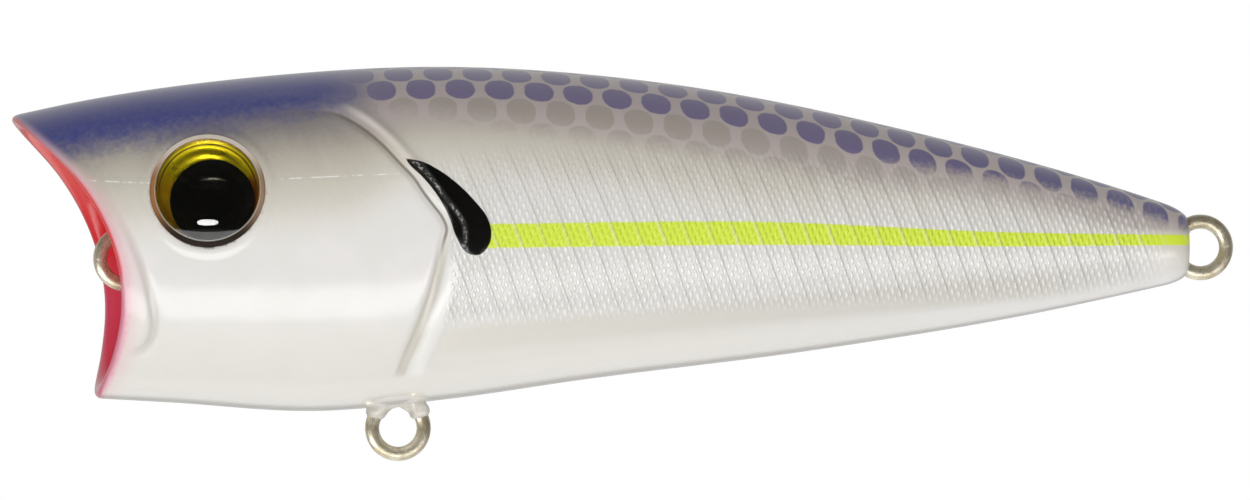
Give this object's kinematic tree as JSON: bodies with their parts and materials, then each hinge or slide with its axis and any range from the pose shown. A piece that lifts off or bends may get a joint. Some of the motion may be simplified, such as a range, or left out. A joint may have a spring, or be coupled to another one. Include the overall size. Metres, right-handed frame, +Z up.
{
  "type": "topwater popper",
  "caption": "Hollow popper fishing lure with a cupped mouth, domed eyes, wire line tie, wire hook hangers, ballast and sliding rattle balls.",
  "frame": {"origin": "centre of the line tie's ring, on the seam plane in the mouth", "axes": "+X along the body towards the tail, +Y across the body towards its right side, +Z up towards the back"},
  "size_m": [0.0782, 0.0166, 0.0251],
  "materials": {
    "body_paint": "pearl white ABS under paint and clear coat: violet blue scaled back, chartreuse stripe, black gill mark, red mouth",
    "wire": "warm nickel plated stainless wire",
    "eye_clear": "clear amber acrylic",
    "eye_black": "gloss black film",
    "eye_gold": "gold reflective foil",
    "ballast_brass": "turned brass",
    "ball_steel": "polished bearing steel"
  },
  "bodies": {
    "lure_body": {"left_shell": "body_paint", "right_shell": "body_paint", "line_tie": "wire", "belly_hanger": "wire", "tail_hanger": "wire", "left_eye_dome": "eye_clear", "right_eye_dome": "eye_clear", "left_eye_pupil": "eye_black", "right_eye_pupil": "eye_black", "left_eye_iris": "eye_gold", "right_eye_iris": "eye_gold", "belly_ballast": "ballast_brass", "tail_ballast": "ballast_brass"},
    "rattle_1": {"rattle_ball_1": "ball_steel"},
    "rattle_2": {"rattle_ball_2": "ball_steel"},
    "rattle_3": {"rattle_ball_3": "ball_steel"},
    "rattle_4": {"rattle_ball_4": "ball_steel"}
  },
  "joints": [
    {"name": "rattle_1_slide", "type": "slide", "parent": "lure_body", "child": "rattle_1", "axis": [0, 1, 0], "range_m": [-0.0044, 0.0044]},
    {"name": "rattle_2_slide", "type": "slide", "parent": "lure_body", "child": "rattle_2", "axis": [0, 1, 0], "range_m": [-0.004, 0.004]},
    {"name": "rattle_3_slide", "type": "slide", "parent": "lure_body", "child": "rattle_3", "axis": [0, 1, 0], "range_m": [-0.0033, 0.0033]},
    {"name": "rattle_4_slide", "type": "slide", "parent": "lure_body", "child": "rattle_4", "axis": [0, 1, 0], "range_m": [-0.0024, 0.0024]}
  ]
}
